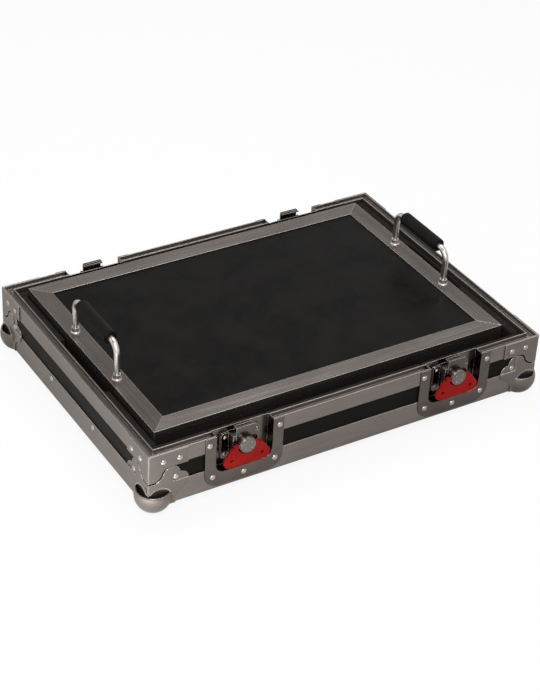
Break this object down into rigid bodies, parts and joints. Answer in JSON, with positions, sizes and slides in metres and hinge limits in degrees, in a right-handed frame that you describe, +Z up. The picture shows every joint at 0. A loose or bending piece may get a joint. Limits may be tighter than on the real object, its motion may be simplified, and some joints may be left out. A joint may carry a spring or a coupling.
{
  "type": "guitar pedal case",
  "caption": "Shallow flight-style tray with aluminium edging, ball corners and recessed twist latches, holding a lift-out pedal board with two grip handles.",
  "frame": {"origin": "on the ground under the middle of the tray, at the ball corners' lowest points", "axes": "+X along the long side to the right, +Y to the back, +Z up"},
  "size_m": [0.623, 0.456, 0.1641],
  "materials": {
    "laminate": "black laminate on plywood, satin",
    "edging": "mill finish with fine drawn lines",
    "corner_plating": "zinc plated, satin",
    "dish_plating": "zinc plated, polished",
    "hook_plating": "zinc plated, polished",
    "drum_plating": "nickel plated",
    "wing_red": "gloss red enamel",
    "foam": "closed-cell foam, matt",
    "plywood": "bare birch plywood",
    "board_black": "satin black laminate on plywood",
    "board_edging": "satin, drawn",
    "handle_plating": "zinc plated, bright",
    "grip_rubber": "moulded, matt",
    "rivet_plating": "zinc plated, bright"
  },
  "bodies": {
    "case": {"base_panel": "laminate", "front_wall": "laminate", "back_wall": "laminate", "left_wall": "laminate", "right_wall": "laminate", "left_rim": "edging", "right_rim": "edging", "front_rim_left": "edging", "front_rim_middle": "edging", "front_rim_right": "edging", "back_rim_left": "edging", "back_rim_middle": "edging", "back_rim_right": "edging", "front_bottom_angle": "edging", "back_bottom_angle": "edging", "left_bottom_angle": "edging", "right_bottom_angle": "edging", "front_left_brace": "corner_plating", "front_left_ball_corner": "corner_plating", "front_right_brace": "corner_plating", "front_right_ball_corner": "corner_plating", "back_right_brace": "corner_plating", "back_right_ball_corner": "corner_plating", "back_left_brace": "corner_plating", "back_left_ball_corner": "corner_plating", "front_left_latch_dish": "dish_plating", "front_right_latch_dish": "dish_plating", "back_left_latch_dish": "dish_plating", "back_right_latch_dish": "dish_plating", "front_foam": "foam", "back_foam": "foam", "left_foam": "foam", "right_foam": "foam", "left_board_riser": "plywood", "right_board_riser": "plywood", "case_rivets": "rivet_plating", "latch_rivets": "rivet_plating"},
    "pedalboard": {"board_panel": "board_black", "board_front_edge": "board_edging", "board_back_edge": "board_edging", "board_left_edge": "board_edging", "board_right_edge": "board_edging", "left_handle_bow": "handle_plating", "left_handle_grip": "grip_rubber", "right_handle_bow": "handle_plating", "right_handle_grip": "grip_rubber", "handle_washers": "handle_plating", "handle_nuts": "handle_plating"},
    "front_left_latch_drum_body": {"front_left_latch_drum": "drum_plating"},
    "front_left_latch_hook_body": {"front_left_latch_hook": "hook_plating"},
    "front_left_latch_wing_body": {"front_left_latch_wing": "wing_red"},
    "front_right_latch_drum_body": {"front_right_latch_drum": "drum_plating"},
    "front_right_latch_hook_body": {"front_right_latch_hook": "hook_plating"},
    "front_right_latch_wing_body": {"front_right_latch_wing": "wing_red"},
    "back_left_latch_drum_body": {"back_left_latch_drum": "drum_plating"},
    "back_left_latch_hook_body": {"back_left_latch_hook": "hook_plating"},
    "back_left_latch_wing_body": {"back_left_latch_wing": "wing_red"},
    "back_right_latch_drum_body": {"back_right_latch_drum": "drum_plating"},
    "back_right_latch_hook_body": {"back_right_latch_hook": "hook_plating"},
    "back_right_latch_wing_body": {"back_right_latch_wing": "wing_red"}
  },
  "joints": [
    {"name": "board_lift", "type": "slide", "parent": "case", "child": "pedalboard", "axis": [0, 0, 1], "range_m": [0, 0.12]},
    {"name": "front_left_latch_turn", "type": "hinge", "parent": "case", "child": "front_left_latch_drum_body", "pos_m": [-0.1635, -0.219, 0.074], "axis": [0, -1, 0], "range_deg": [0, 180]},
    {"name": "front_left_latch_hook_rise", "type": "slide", "parent": "case", "child": "front_left_latch_hook_body", "axis": [0, 0, 1], "range_m": [0, 0.011]},
    {"name": "front_left_latch_wing_fold", "type": "hinge", "parent": "front_left_latch_drum_body", "child": "front_left_latch_wing_body", "pos_m": [-0.1635, -0.2233, 0.074], "axis": [-1, 0, 0], "range_deg": [0, 90]},
    {"name": "front_right_latch_turn", "type": "hinge", "parent": "case", "child": "front_right_latch_drum_body", "pos_m": [0.1635, -0.219, 0.074], "axis": [0, -1, 0], "range_deg": [0, 180]},
    {"name": "front_right_latch_hook_rise", "type": "slide", "parent": "case", "child": "front_right_latch_hook_body", "axis": [0, 0, 1], "range_m": [0, 0.011]},
    {"name": "front_right_latch_wing_fold", "type": "hinge", "parent": "front_right_latch_drum_body", "child": "front_right_latch_wing_body", "pos_m": [0.1635, -0.2233, 0.074], "axis": [-1, 0, 0], "range_deg": [0, 90]},
    {"name": "back_left_latch_turn", "type": "hinge", "parent": "case", "child": "back_left_latch_drum_body", "pos_m": [-0.1635, 0.219, 0.074], "axis": [0, 1, 0], "range_deg": [0, 180]},
    {"name": "back_left_latch_hook_rise", "type": "slide", "parent": "case", "child": "back_left_latch_hook_body", "axis": [0, 0, 1], "range_m": [0, 0.011]},
    {"name": "back_left_latch_wing_fold", "type": "hinge", "parent": "back_left_latch_drum_body", "child": "back_left_latch_wing_body", "pos_m": [-0.1635, 0.2233, 0.074], "axis": [1, 0, 0], "range_deg": [0, 90]},
    {"name": "back_right_latch_turn", "type": "hinge", "parent": "case", "child": "back_right_latch_drum_body", "pos_m": [0.1635, 0.219, 0.074], "axis": [0, 1, 0], "range_deg": [0, 180]},
    {"name": "back_right_latch_hook_rise", "type": "slide", "parent": "case", "child": "back_right_latch_hook_body", "axis": [0, 0, 1], "range_m": [0, 0.011]},
    {"name": "back_right_latch_wing_fold", "type": "hinge", "parent": "back_right_latch_drum_body", "child": "back_right_latch_wing_body", "pos_m": [0.1635, 0.2233, 0.074], "axis": [1, 0, 0], "range_deg": [0, 90]}
  ],
  "couplings": [
    {"joint": "front_left_latch_hook_rise", "follows": "front_left_latch_turn", "m_per_rad": 0.003501},
    {"joint": "front_right_latch_hook_rise", "follows": "front_right_latch_turn", "m_per_rad": 0.003501},
    {"joint": "back_left_latch_hook_rise", "follows": "back_left_latch_turn", "m_per_rad": 0.003501},
    {"joint": "back_right_latch_hook_rise", "follows": "back_right_latch_turn", "m_per_rad": 0.003501}
  ]
}
